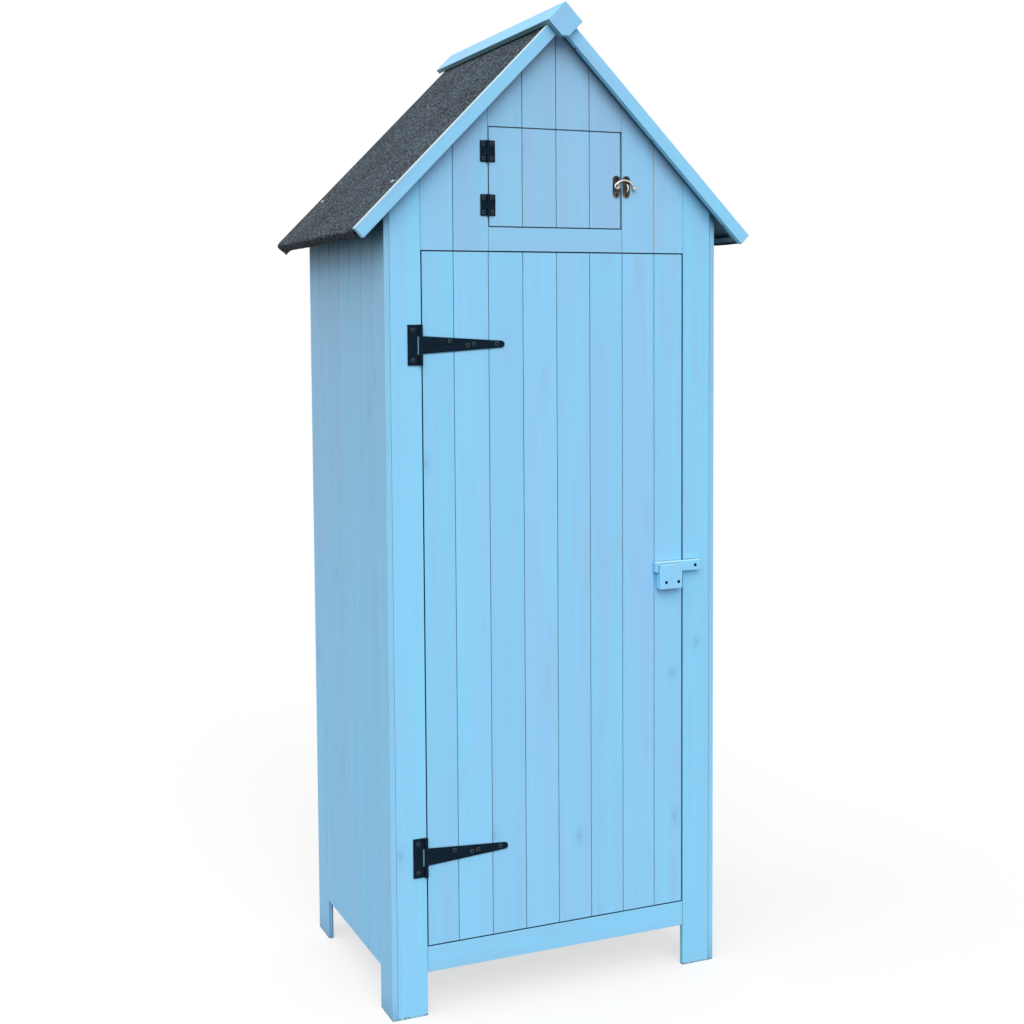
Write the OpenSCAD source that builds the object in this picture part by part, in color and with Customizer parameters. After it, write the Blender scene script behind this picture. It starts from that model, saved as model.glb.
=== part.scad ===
// Tall narrow storage shed of painted softwood boards, with a felted gable roof, a door and a loft hatch.
// Millimetres. Z is up, the front faces -Y, the legs stand on Z = 0, and the origin is under the middle.

/* [Carcass] */
// Width over the side walls
body_w = 650; // [610:1:690]
// Depth from the front wall's face to the back wall's face
body_d = 450; // [400:1:500]
// Thickness of the wall, floor, shelf and door boards
board_t = 9.5; // [8:0.5:12]
// Cover width of one front board
board_w = 66; // [58:1:76]
// Height of the legs under the walls
leg_h = 78; // [50:1:100]
// Thickness of the hidden frame battens
batten_t = 15; // [12:0.5:20]
// Height of the hidden frame battens
batten_h = 28; // [22:1:36]

/* [Board joints] */
// Thickness of the tongue on a board's edge
tongue_t = 3; // [2.5:0.1:3.5]
// How far the tongue stands out of the edge
tongue_l = 4; // [3:0.5:6]
// Play between a tongue and its groove
tongue_play = 0.2; // [0.1:0.05:0.4]
// Open joint between two boards on the face
seam_gap = 0.8; // [0.4:0.1:1.4]
// Bevel along the face edges of a board
seam_bevel = 0.8; // [0.4:0.1:1.5]
// Play between the back shoulders of two boards
shoulder_play = 0.1; // [0.05:0.05:0.3]
// Open joint between two panels of the front
panel_gap = 0.6; // [0.3:0.1:1.2]

/* [Roof] */
// Height of the ridge above the ground
total_h = 1780; // [1750:1:1840]
// Distance that the roof runs past each side wall, felt included
eave_overhang = 60; // [50:1:75]
// Distance from the front wall's face to the bargeboards' face
front_overhang = 26; // [22:1:40]
// Distance that the felted roof runs past the back wall
back_overhang = 32; // [20:1:44]
// Distance that the ridge boards run past the back wall
ridge_overhang = 49; // [45:1:60]
// Thickness of the roof boards
deck_t = 9; // [8:0.5:12]
// Thickness of the felt
felt_t = 1.5; // [1:0.1:2.5]
// Depth of the felt folded down over the eaves
felt_drop = 17; // [14:1:20]
// How far the bargeboards stand proud of the felt
barge_proud = 1.5; // [0.5:0.1:3]
// Width of the bargeboards
barge_w = 23; // [20:1:32]
// Thickness of the bargeboards
barge_t = 12; // [9:0.5:16]
// How much shallower the battens behind the bargeboards are
batten_rise = 4; // [0:0.5:6]
// Width of one ridge board
ridge_w = 47; // [40:1:60]
// Thickness of the ridge boards
ridge_t = 9; // [7:0.5:12]
// Thickness of the plate that closes the ridge at the front
plate_t = 15; // [10:0.5:20]
// Width of the flat cut on the plate's lowest corner
plate_cut = 14; // [6:1:20]

/* [Door] */
// Width of the doorway between the front stiles
doorway_w = 518; // [490:1:540]
// Height of the rail under the door
sill_h = 46; // [36:1:60]
// Height of the ridge above the doorway's top
ridge_over_door = 431; // [420:1:480]
// Gap at the hinge side of the door
hinge_gap = 2.5; // [1.5:0.5:4]
// Gap at the latch side of the door
latch_gap = 3.5; // [2:0.5:5]
// Gap over and under the door
end_gap = 2.5; // [1.5:0.5:4]
// How far the doorway's stops lap behind the door
stop_lap = 10; // [7:0.5:14]
// Height of the ledges across the back of the door
ledge_h = 60; // [45:1:80]
// Distance from the door's ends to the middle of its end ledges
ledge_inset = 130; // [100:1:180]
// Distance from the door's hinge edge to its ledges
ledge_hinge_gap = 16; // [12:1:30]
// Distance from the latch side's stop to the ledges
ledge_stop_gap = 4; // [2:0.5:10]

/* [Hatch] */
// Width of the hatch opening
hatch_w = 264; // [250:1:276]
// Height of the hatch opening
hatch_h = 175; // [150:1:185]
// Height of the rail under the hatch
hatch_rail_h = 41; // [34:1:50]
// Gap at the hinge side of the hatch
hatch_hinge_gap = 1.2; // [1:0.1:3]
// Gap at the catch side of the hatch
hatch_catch_gap = 4.5; // [2.5:0.5:6]
// Gap over and under the hatch
hatch_end_gap = 1.2; // [1:0.1:3]
// Height of the two ledges across the back of the hatch
hatch_ledge_h = 24; // [18:1:32]
// Distance from the hatch's ends to its ledges
hatch_ledge_inset = 16; // [12:1:24]

/* [Inside] */
// Height of the lower shelf's battens above the floor battens
lower_shelf_rise = 430; // [380:1:460]
// Height of the upper shelf's battens above the lower shelf's
upper_shelf_rise = 400; // [360:1:420]
// Distance from the front wall's back to the shelves
shelf_setback = 24; // [20:1:60]
// Play between a shelf and the side walls
shelf_play = 0.8; // [0.4:0.1:2]

/* [Strap hinges] */
// Height of the lower strap hinge above the ground
lower_hinge_z = 286; // [240:1:330]
// Distance from the doorway's top down to the upper strap hinge
upper_hinge_drop = 163; // [120:1:220]
// Thickness of the black hinge plates
strap_t = 2; // [1.5:0.1:3]
// Length of the strap from the pin to its tip
strap_l = 157.5; // [130:0.5:200]
// Height of the strap at the pin
strap_h = 31; // [26:1:36]
// Height of the strap at its tip
strap_tip_h = 12; // [9:1:16]
// Width of the leaf on the stile
leaf_w = 20; // [17:0.5:24]
// Height of the leaf on the stile
leaf_h = 70; // [60:1:80]
// Outer diameter of the hinge barrel
barrel_d = 7; // [6:0.1:9]
// Diameter of the hinge pin
pin_d = 3.6; // [3:0.1:4.2]
// Radial play of every turning pin
pin_play = 0.06; // [0.03:0.01:0.1]

/* [Hatch hinges] */
// Height of the lower hatch hinge above the bottom of the hatch opening
butt_rise = 38; // [30:1:50]
// Distance between the two hatch hinges
butt_pitch = 93; // [70:1:105]
// Height of one hatch hinge
butt_h = 37; // [30:1:42]
// Width of one leaf from the pin
butt_leaf_w = 14; // [12:0.5:17]
// Outer diameter of the hatch hinge barrel
butt_barrel_d = 6; // [5:0.1:7]
// Thickness of the hatch hinge leaves
butt_t = 1.5; // [1:0.1:2]
// Diameter of the hatch hinge pin
butt_pin_d = 3; // [2.4:0.1:3.6]

/* [Latch] */
// Height of the latch pivot above the ground
latch_z = 769; // [700:1:840]
// Distance from the stile's edge to the latch pivot
latch_pivot_in = 20; // [14:0.5:28]
// Length of the latch bar
latch_l = 94; // [84:1:110]
// Height of the latch bar
latch_h = 19; // [16:1:24]
// Thickness of the latch bar
latch_t = 11; // [9:0.5:14]
// Length of the latch bar past its pivot
latch_tail = 10.5; // [8:0.5:14]
// Width of the keeper block on the door
keeper_w = 47; // [40:1:54]
// Height of the keeper block on the door
keeper_h = 46; // [40:1:54]
// Thickness of the keeper's lip in front of the bar
keeper_lip = 5; // [4.5:0.5:8]
// Distance that the bar runs out past the keeper
keeper_back = 6; // [1:0.5:9]

/* [Hook catch] */
// Height of the hook's pivot above the bottom of the hatch opening
hook_rise = 78; // [68:1:90]
// Width of the catch plates
catch_w = 14.5; // [12:0.5:16]
// Height of the catch plates
catch_h = 40; // [36:1:46]
// Thickness of the catch plates
catch_t = 1.2; // [0.8:0.1:2]
// Diameter of the hook's wire
wire_d = 3; // [2.4:0.1:3.6]
// Reach of the hook from its pivot to its knob
hook_reach = 34.5; // [31:0.5:38]
// Diameter of the knob at the hook's end
knob_d = 8; // [6:0.1:8.2]

/* [Screws] */
// Diameter of the screw heads on the metal plates
head_d = 6; // [4.5:0.1:7]
// Height of the screw heads
head_t = 1.4; // [1:0.1:2]
// Diameter of the screw shanks
shank_d = 3; // [2.4:0.1:3.4]
// Depth that the screws reach into the boards
screw_depth = 7; // [5:0.5:7.5]
// Play around the shanks in their holes
screw_play = 0.06; // [0.03:0.01:0.1]
// Diameter of the sunk screw holes in the latch and its keeper
sink_d = 6.4; // [5.6:0.1:7.6]
// Depth of the sunk screw holes
sink_depth = 4; // [3:0.5:6]

/* [Hidden] */
$fn = 48;
paint = "#8cc8f4";
felt_black = "#3c4148";
iron_black = "#17181b";
aged_metal = "#6a5f52";

// Clearance between parts that move past each other
move_gap = 0.3;
// Narrowest board that a row of boards may end with
least_board = 25;
// Gap where two battens of one frame butt together
joint_gap = 0.2;
// Amount that a cutting shape runs past what it cuts
past = 1;

// The roof is a right-angled gable, so each slope falls one for one
pitch = 45;
slope = sqrt(2);
roof_w = body_w + 2 * eave_overhang;
roof_d = plate_t + front_overhang + body_d + ridge_overhang;
plate_y = -roof_d / 2;
barge_y = plate_y + plate_t;
front_y = barge_y + front_overhang;
back_y = front_y + body_d;
deck_y = barge_y + barge_t;
deck_back_y = back_y + back_overhang - felt_t;
ridge_back_y = back_y + ridge_overhang;

// Depths below the bargeboards' top, square to the slope
felt_top = barge_proud;
deck_top = felt_top + felt_t;
deck_under = deck_top + deck_t;
roof_apex = total_h - ridge_t * slope;
eave_u = roof_w / 2 * slope;
wall_apex = roof_apex - deck_under * slope;

// Inside faces of the walls
inner_x = body_w / 2 - board_t;
front_back = front_y + board_t;
back_front = back_y - board_t;
frame_back = front_back + batten_t;

// Doorway and hatch opening
doorway_x = doorway_w / 2;
doorway_z = leg_h + sill_h;
doorway_top = total_h - ridge_over_door;
hatch_x = hatch_w / 2;
hatch_z = doorway_top + hatch_rail_h;
hatch_top = hatch_z + hatch_h;
door_x0 = -doorway_x + hinge_gap;
door_x1 = doorway_x - latch_gap;
door_z0 = doorway_z + end_gap;
door_z1 = doorway_top - end_gap;
hatch_x0 = -hatch_x + hatch_hinge_gap;
hatch_x1 = hatch_x - hatch_catch_gap;
hatch_z0 = hatch_z + hatch_end_gap;
hatch_z1 = hatch_top - hatch_end_gap;
hatch_lap = 6;
sill_step = 4;
header_top = hatch_z - sill_step;

// Tops of the battens that carry the floor, the shelves and the loft floor
floor_level = leg_h + batten_h;
lower_level = floor_level + lower_shelf_rise;
upper_level = lower_level + upper_shelf_rise;
loft_step = 8;
loft_level = hatch_z - board_t - loft_step;
levels = [floor_level, lower_level, upper_level, loft_level];

// Hinge axes, in front of the wall's face and just outside the edges of the openings
window_gap = 0.5;
window_side = 2;
barrel_out = 1.5;
barrel_x = -doorway_x - barrel_out;
barrel_y = front_y - barrel_d / 2 - move_gap;
butt_out = 0.5;
butt_x = -hatch_x - butt_out;
butt_y = front_y - butt_barrel_d / 2 - move_gap;
upper_hinge_z = doorway_top - upper_hinge_drop;
lower_butt_z = hatch_z + butt_rise;
upper_butt_z = lower_butt_z + butt_pitch;

// Latch bar and keeper
latch_x = doorway_x + latch_pivot_in;
latch_x0 = latch_x + latch_tail - latch_l;
latch_y = front_y - move_gap;
latch_front = latch_y - latch_t;
latch_under = latch_z - latch_h / 2;
keeper_x0 = latch_x0 + keeper_back;
keeper_front = latch_front - move_gap - keeper_lip;
keeper_bed_gap = 0.5;
keeper_bed = latch_under - keeper_bed_gap;
bar_above_keeper = 4;
keeper_top = latch_under + latch_h - bar_above_keeper;
keeper_z0 = keeper_top - keeper_h;

// Hook catch: the hook's plate is on the hatch and the staple's plate is on the gable board
hook_x = hatch_x1 - catch_w / 2;
catch_edge_gap = 1;
staple_x = hatch_x + catch_w / 2 + catch_edge_gap;
hook_z = hatch_z + hook_rise;
hook_lift = 1.5;
catch_z = hook_z - hook_lift;
hook_y = front_y - catch_t - head_t - move_gap - wire_d / 2;
// Radii of the wire's middle line in the hook's eye and in the staple
ring_r = 4.4;
hook_boss_r = ring_r - wire_d / 2;
staple_r = 6.4;
staple_d = 2.6;
// How far the middle of the staple lies below the middle of its plate
staple_drop = 1.8;

// Screw places on each plate, as x and z from the plate's own centre
catch_inset = 5.5;
catch_holes = [for (s = [-1, 1]) [0, s * (catch_h / 2 - catch_inset)]];
leaf_inset = 9;
leaf_holes = [for (s = [-1, 1]) [-barrel_d / 2 - leaf_w / 2 - 1, s * (leaf_h / 2 - leaf_inset)]];
strap_holes = [[54, 6], [87.5, -1], [99, 1], [strap_l - 15, 1]];
butt_inset = 6;
butt_hole_x = butt_leaf_w * 0.55;
butt_holes = [for (s = [-1, 1]) s * (butt_h / 2 - butt_inset)];
keeper_hole_z = 12.5;
keeper_holes = [[13, keeper_hole_z], [keeper_w - 8, keeper_hole_z]];

// Edges of a row of boards whose joints fall on whole board widths from the centre line
function board_edges(x0, x1) = concat(
  [x0],
  [for (k = [ceil((x0 + least_board) / board_w) : floor((x1 - least_board) / board_w)]) k * board_w],
  [x1]
);

// Edges of a row of equal boards, each as near to one board width as the length allows
function equal_edges(length) =
  let (count = round(length / board_w)) [for (k = [0 : count]) k * length / count];

// Box between two corners, each side given as a range
module block(x, y, z) {
  translate([x[0], y[0], z[0]]) cube([x[1] - x[0], y[1] - y[0], z[1] - z[0]]);
}

// Section of one board: face on the X axis, thickness up Y, groove on the left and tongue on the right
module board_section(width, thickness, groove, tongue) {
  mid = thickness / 2;
  half = tongue_t / 2;
  slot = half + tongue_play;
  deep = tongue_l + 2 * tongue_play;
  left = groove ? [
    [0, thickness], [0, mid + slot], [deep, mid + slot], [deep, mid - slot],
    [seam_gap / 2, mid - slot], [seam_gap / 2, seam_bevel], [seam_gap / 2 + seam_bevel, 0],
  ] : [[0, thickness], [0, 0]];
  edge = width - seam_gap / 2;
  back = width - shoulder_play;
  right = tongue ? [
    [edge - seam_bevel, 0], [edge, seam_bevel], [edge, mid - half], [width + tongue_l, mid - half],
    [width + tongue_l, mid + half], [back, mid + half], [back, thickness],
  ] : [[width, 0], [width, thickness]];
  polygon(concat(left, right));
}

// Row of upright boards with their faces on the X axis; the end boards can run down as legs
module upright_boards(edges, z0, z1, thickness = board_t, legs = false) {
  last = len(edges) - 2;
  for (i = [0 : last]) {
    foot = legs && (i == 0 || i == last) ? 0 : z0;
    translate([edges[i], 0, foot]) linear_extrude(z1 - foot)
      board_section(edges[i + 1] - edges[i], thickness, i > 0, i < last);
  }
}

// Row of flat boards lying across the shed, side by side from back to front, with their good face up
module flat_boards(half_length, y0, y1, z) {
  edges = equal_edges(y1 - y0);
  translate([-half_length, y1, z + board_t])
    rotate([0, 90, 0]) rotate([0, 0, -90]) upright_boards(edges, 0, 2 * half_length);
}

// Everything under the roof boards
module under_roof(y0, y1) {
  half = body_w;
  translate([0, y1, 0]) rotate([90, 0, 0]) linear_extrude(y1 - y0)
    polygon([
      [-half, wall_apex - half], [0, wall_apex], [half, wall_apex - half],
      [half, -past], [-half, -past],
    ]);
}

// Wall boards cut off under the roof
module cut_to_roof(y0, y1) {
  intersection() {
    children();
    under_roof(y0, y1);
  }
}

// Section on one slope, X down the slope from the ridge and Y out of it, run from y0 to y1
module on_slope(side, y0, y1) {
  mirror([side < 0 ? 1 : 0, 0, 0])
    translate([0, y1, roof_apex]) rotate([90, 0, 0]) linear_extrude(y1 - y0) rotate(-pitch) children();
}

// Strip of the slope between two depths, mitred on the centre line and cut square at the other end
module slope_strip(top, under, end) {
  polygon([[top, -top], [end, -top], [end, -under], [under, -under]]);
}

// Straight screw along Y with its head on the plane y, reaching back into the wood
module screw_at(x, y, z, sunk = 0) {
  crown_d = head_d * 0.72;
  translate([x, y + sunk, z]) rotate([-90, 0, 0]) {
    translate([0, 0, -head_t]) cylinder(d1 = crown_d, d2 = head_d, h = head_t);
    cylinder(d = shank_d, h = (front_y + screw_depth) - (y + sunk));
  }
}

// Hole for a screw's shank, from in front of the wall to past the screw's point
module shank_hole(x, z) {
  reach = 40;
  tip_gap = 0.4;
  translate([x, front_y - reach, z]) rotate([-90, 0, 0])
    cylinder(r = shank_d / 2 + screw_play, h = reach + screw_depth + tip_gap);
}

// Side wall's boards, seen from inside, from front to back
module side_boards(side) {
  edges = equal_edges(body_d);
  color(paint) cut_to_roof(front_y, back_y)
    translate([side * body_w / 2, side < 0 ? back_y : front_y, 0]) rotate([0, 0, side * 90])
      upright_boards(edges, leg_h, total_h, legs = true);
}

module left_side_boards() side_boards(-1);
module right_side_boards() side_boards(1);

// Battens on a side wall, one under the floor and one under each shelf
module side_battens(side) {
  color(paint) for (level = levels)
    block(
      side < 0 ? [-inner_x, -inner_x + batten_t] : [inner_x - batten_t, inner_x],
      [frame_back, back_front - batten_t],
      [level - batten_h, level]
    );
}

module left_side_battens() side_battens(-1);
module right_side_battens() side_battens(1);

module back_boards() {
  edges = equal_edges(2 * inner_x);
  color(paint) cut_to_roof(front_y, back_y)
    translate([inner_x, back_y, 0]) rotate([0, 0, 180]) upright_boards(edges, leg_h, total_h);
}

module back_battens() {
  color(paint) for (level = levels)
    block([-inner_x, inner_x], [back_front - batten_t, back_front], [level - batten_h, level]);
}

// Front stile from the ground to the roof, beside the doorway
module stile(side) {
  color(paint) difference() {
    cut_to_roof(front_y, back_y)
      block(
        side < 0 ? [-inner_x + panel_gap, -doorway_x] : [doorway_x, inner_x - panel_gap],
        [front_y, front_back],
        [0, total_h]
      );
    if (side < 0)
      for (z = [lower_hinge_z, upper_hinge_z], p = leaf_holes) shank_hole(barrel_x + p[0], z + p[1]);
    else
      shank_hole(latch_x, latch_z);
  }
}

module left_stile() stile(-1);
module right_stile() stile(1);

module bottom_rail() {
  half = doorway_x - panel_gap;
  color(paint) block([-half, half], [front_y, front_back], [leg_h, doorway_z]);
}

module hatch_rail() {
  half = hatch_x - panel_gap;
  color(paint) block([-half, half], [front_y, front_back], [doorway_top, hatch_z]);
}

// Upright boards of the front gable over the doorway
module gable_row(edges, z0) {
  cut_to_roof(front_y, back_y) translate([0, front_y, 0]) upright_boards(edges, z0, total_h);
}

module left_gable_boards() {
  color(paint) difference() {
    gable_row(board_edges(-doorway_x + panel_gap, -hatch_x), doorway_top);
    for (z = [lower_butt_z, upper_butt_z], dz = butt_holes) shank_hole(butt_x - butt_hole_x, z + dz);
  }
}

module right_gable_boards() {
  color(paint) difference() {
    gable_row(board_edges(hatch_x, doorway_x - panel_gap), doorway_top);
    for (p = catch_holes) shank_hole(staple_x + p[0], catch_z + p[1]);
  }
}

module top_gable_boards() {
  half = hatch_x - panel_gap;
  color(paint) gable_row(board_edges(-half, half), hatch_top);
}

// Posts behind the stiles, to which the front is nailed; the right one is the door's stop as well
module front_post(x) {
  color(paint) cut_to_roof(front_y, back_y) block(x, [front_back, frame_back], [leg_h, total_h]);
}

module left_front_post() front_post([-inner_x, -doorway_x]);
module right_front_post() front_post([doorway_x - stop_lap, inner_x]);

// Batten over the doorway, behind the foot of the gable boards
module door_header() {
  z = [doorway_top - stop_lap, header_top];
  color(paint) block([-doorway_x, doorway_x - stop_lap], [front_back, frame_back], z);
}

// Battens round the hatch opening: a post at each side and a header, lapping behind the hatch
module hatch_stops() {
  stop_x = hatch_x1 - hatch_lap;
  y = [front_back, frame_back];
  color(paint) cut_to_roof(front_y, back_y) {
    block([-hatch_x - batten_h, -hatch_x], y, [header_top, total_h]);
    block([stop_x, stop_x + batten_h], y, [header_top, total_h]);
    block(
      [-hatch_x + joint_gap, stop_x - joint_gap],
      y,
      [hatch_top - hatch_lap, hatch_top - hatch_lap + batten_h]
    );
  }
}

// Bearer behind the bottom rail and one across the middle of the floor
module floor_bearers() {
  z = [leg_h, floor_level];
  color(paint) {
    block([-doorway_x, doorway_x - stop_lap], [front_back, frame_back], z);
    block([-batten_t, batten_t], [frame_back + joint_gap, back_front - batten_t], z);
  }
}

module floor_boards() {
  color(paint) difference() {
    flat_boards(inner_x - shelf_play, front_back, back_front, floor_level);
    for (side = [0, 1]) mirror([side, 0, 0]) block(
      [doorway_x - stop_lap - shelf_play, body_w],
      [front_y, frame_back + shelf_play],
      [0, doorway_top]
    );
  }
}

// Shelf on the battens at one level
module shelf(level) {
  color(paint) flat_boards(inner_x - shelf_play, front_back + shelf_setback, back_front, level);
}

module lower_shelf() shelf(lower_level);
module upper_shelf() shelf(upper_level);
module loft_floor() shelf(loft_level);

// Roof boards of one slope, with their joints along the shed
module roof_boards(side) {
  edges = equal_edges(eave_u - felt_t - deck_top);
  last = len(edges) - 2;
  color(paint) on_slope(side, deck_y, deck_back_y) difference() {
    translate([deck_top, -deck_under]) for (i = [0 : last]) translate([edges[i], 0])
      board_section(edges[i + 1] - edges[i], deck_t, i > 0, i < last);
    // Mitre on the centre line
    polygon([
      [deck_top, -deck_top], [deck_under + past, -deck_under - past],
      [deck_top - past, -deck_under - past], [deck_top - past, -deck_top],
    ]);
  }
}

module left_roof_boards() roof_boards(-1);
module right_roof_boards() roof_boards(1);

// Battens under the roof's front, back and eave edges
module roof_battens(side) {
  depth = barge_w - batten_rise;
  wide = front_overhang - barge_t;
  end = eave_u - felt_t;
  color(paint) {
    on_slope(side, deck_y, front_y) slope_strip(deck_under, depth, end);
    on_slope(side, back_y, back_y + wide) slope_strip(deck_under, depth, end);
    on_slope(side, front_y + joint_gap, back_y - joint_gap)
      polygon([[end - wide, -deck_under], [end, -deck_under], [end, -depth], [end - wide, -depth]]);
  }
}

module left_roof_battens() roof_battens(-1);
module right_roof_battens() roof_battens(1);

// Felt on one slope, folded down over the eave and the back edge
module felt(side) {
  back_drop = 2;
  color(felt_black) union() {
    on_slope(side, deck_y, deck_back_y + felt_t) {
      slope_strip(felt_top, deck_top, eave_u);
      translate([eave_u - felt_t, -felt_top - felt_drop]) square([felt_t, felt_drop]);
    }
    on_slope(side, deck_back_y, deck_back_y + felt_t) slope_strip(felt_top, deck_under + back_drop, eave_u);
  }
}

module left_felt() felt(-1);
module right_felt() felt(1);

module bargeboard(side) {
  color(paint) on_slope(side, barge_y, deck_y) slope_strip(0, barge_w, eave_u);
}

module left_bargeboard() bargeboard(-1);
module right_bargeboard() bargeboard(1);

// The left ridge board covers the top edge of the right one
module left_ridge_board() {
  color(paint) on_slope(-1, barge_y, ridge_back_y) translate([-ridge_t, 0]) square([ridge_w, ridge_t]);
}

module right_ridge_board() {
  color(paint) on_slope(1, barge_y, ridge_back_y) square([ridge_w - ridge_t, ridge_t]);
}

// Square plate on its corner, closing the ridge boards and covering the bargeboards' joint
module ridge_end_plate() {
  color(paint) on_slope(1, plate_y, barge_y) difference() {
    translate([-ridge_t, ridge_t - ridge_w]) square(ridge_w);
    translate([ridge_w - ridge_t, ridge_t - ridge_w]) rotate(45) square(plate_cut, center = true);
  }
}

// Upright cylinder on a hinge axis, between two heights
module knuckle(x, y, d, z0, z1) {
  translate([x, y, z0]) cylinder(d = d, h = z1 - z0);
}

// Leaf on the stile: a plate with a window for the strap's knuckle, and a knuckle at each end
module hinge_leaf(z) {
  window_h = strap_h + 2 * window_gap;
  window_w = barrel_d / 2 + window_side;
  x0 = barrel_x - barrel_d / 2 - leaf_w;
  color(iron_black) difference() {
    union() {
      block([x0, barrel_x], [front_y - strap_t, front_y], [z - leaf_h / 2, z + leaf_h / 2]);
      knuckle(barrel_x, barrel_y, barrel_d, z - leaf_h / 2, z + leaf_h / 2);
    }
    block(
      [barrel_x - window_w, barrel_x + barrel_d],
      [barrel_y - barrel_d, front_y + past],
      [z - window_h / 2, z + window_h / 2]
    );
    knuckle(barrel_x, barrel_y, pin_d + 2 * pin_play, z - leaf_h, z + leaf_h);
    for (p = leaf_holes) shank_hole(barrel_x + p[0], z + p[1]);
  }
}

module upper_hinge_leaf() hinge_leaf(upper_hinge_z);
module lower_hinge_leaf() hinge_leaf(lower_hinge_z);

module hinge_pins() {
  color(iron_black) for (z = [lower_hinge_z, upper_hinge_z])
    knuckle(barrel_x, barrel_y, pin_d, z - leaf_h / 2, z + leaf_h / 2);
}

module leaf_screws() {
  color(iron_black) for (z = [lower_hinge_z, upper_hinge_z], p = leaf_holes)
    screw_at(barrel_x + p[0], front_y - strap_t, z + p[1]);
}

// Tapered strap on the door with a rounded tip, wrapped round the pin between the leaf's knuckles
module hinge_strap(z) {
  tip = strap_tip_h / 2;
  color(iron_black) difference() {
    union() {
      translate([barrel_x, front_y, z]) rotate([90, 0, 0]) linear_extrude(strap_t) union() {
        polygon([[0, -strap_h / 2], [strap_l - tip, -tip], [strap_l - tip, tip], [0, strap_h / 2]]);
        translate([strap_l - tip, 0]) circle(r = tip);
      }
      knuckle(barrel_x, barrel_y, barrel_d, z - strap_h / 2, z + strap_h / 2);
    }
    knuckle(barrel_x, barrel_y, pin_d + 2 * pin_play, z - strap_h, z + strap_h);
    block(
      [barrel_x - barrel_d, barrel_x],
      [barrel_y + barrel_d / 2, front_y + past],
      [z - strap_h, z + strap_h]
    );
    for (p = strap_holes) shank_hole(barrel_x + p[0], z + p[1]);
  }
}

module upper_hinge_strap() hinge_strap(upper_hinge_z);
module lower_hinge_strap() hinge_strap(lower_hinge_z);

module strap_screws() {
  color(iron_black) for (z = [lower_hinge_z, upper_hinge_z], p = strap_holes)
    screw_at(barrel_x + p[0], front_y - strap_t, z + p[1]);
}

// Boards of the door, with the screw holes of its hinges and its latch keeper
module door_boards() {
  color(paint) difference() {
    translate([0, front_y, 0]) upright_boards(board_edges(door_x0, door_x1), door_z0, door_z1);
    for (z = [lower_hinge_z, upper_hinge_z], p = strap_holes) shank_hole(barrel_x + p[0], z + p[1]);
    for (p = keeper_holes) shank_hole(keeper_x0 + p[0], keeper_z0 + p[1]);
  }
}

// Three ledges across the back of the door
module door_ledges() {
  x = [door_x0 + ledge_hinge_gap, doorway_x - stop_lap - ledge_stop_gap];
  y = [front_back, front_back + batten_t];
  color(paint) for (z = [door_z0 + ledge_inset, (door_z0 + door_z1) / 2, door_z1 - ledge_inset])
    block(x, y, [z - ledge_h / 2, z + ledge_h / 2]);
}

// Keeper block on the door: a lip stands in front of a channel that is open at its top and both ends
module latch_keeper() {
  x = [keeper_x0, keeper_x0 + keeper_w];
  color(paint) difference() {
    block(x, [keeper_front, front_y], [keeper_z0, keeper_top]);
    block(
      [x[0] - past, x[1] + past],
      [latch_front - move_gap, front_y + past],
      [keeper_bed, keeper_top + past]
    );
    for (p = keeper_holes) {
      shank_hole(keeper_x0 + p[0], keeper_z0 + p[1]);
      translate([keeper_x0 + p[0], keeper_front - past, keeper_z0 + p[1]]) rotate([-90, 0, 0])
        cylinder(d = sink_d, h = sink_depth + past);
    }
  }
}

module latch_keeper_screws() {
  color(iron_black) for (p = keeper_holes)
    screw_at(keeper_x0 + p[0], keeper_front, keeper_z0 + p[1], sunk = sink_depth);
}

// Wooden bar that turns on its screw in the right stile and drops behind the keeper's lip
module latch_bar() {
  bevel = 1;
  color(paint) difference() {
    translate([latch_x0, latch_y, latch_under]) rotate([90, 0, 0]) linear_extrude(latch_t)
      polygon([
        [bevel, 0], [latch_l - bevel, 0], [latch_l, bevel], [latch_l, latch_h - bevel],
        [latch_l - bevel, latch_h], [bevel, latch_h], [0, latch_h - bevel], [0, bevel],
      ]);
    translate([latch_x, latch_front - past, latch_z]) rotate([-90, 0, 0]) {
      cylinder(r = shank_d / 2 + pin_play, h = latch_t + 2 * past);
      cylinder(d = sink_d + 2 * move_gap, h = sink_depth + past);
    }
  }
}

module latch_pivot_screw() {
  color(iron_black) screw_at(latch_x, latch_front, latch_z, sunk = sink_depth - move_gap);
}

// Boards of the hatch, with the screw holes of its hinges and its hook
module hatch_boards() {
  color(paint) difference() {
    translate([0, front_y, 0]) upright_boards(board_edges(hatch_x0, hatch_x1), hatch_z0, hatch_z1);
    for (z = [lower_butt_z, upper_butt_z], dz = butt_holes) shank_hole(butt_x + butt_hole_x, z + dz);
    for (p = catch_holes) shank_hole(hook_x + p[0], catch_z + p[1]);
  }
}

module hatch_ledges() {
  x = [hatch_x0 + ledge_hinge_gap, hatch_x1 - hatch_lap - ledge_stop_gap];
  y = [front_back, front_back + batten_t];
  inset = hatch_ledge_h / 2 + hatch_ledge_inset;
  color(paint) for (z = [hatch_z0 + inset, hatch_z1 - inset])
    block(x, y, [z - hatch_ledge_h / 2, z + hatch_ledge_h / 2]);
}

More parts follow.
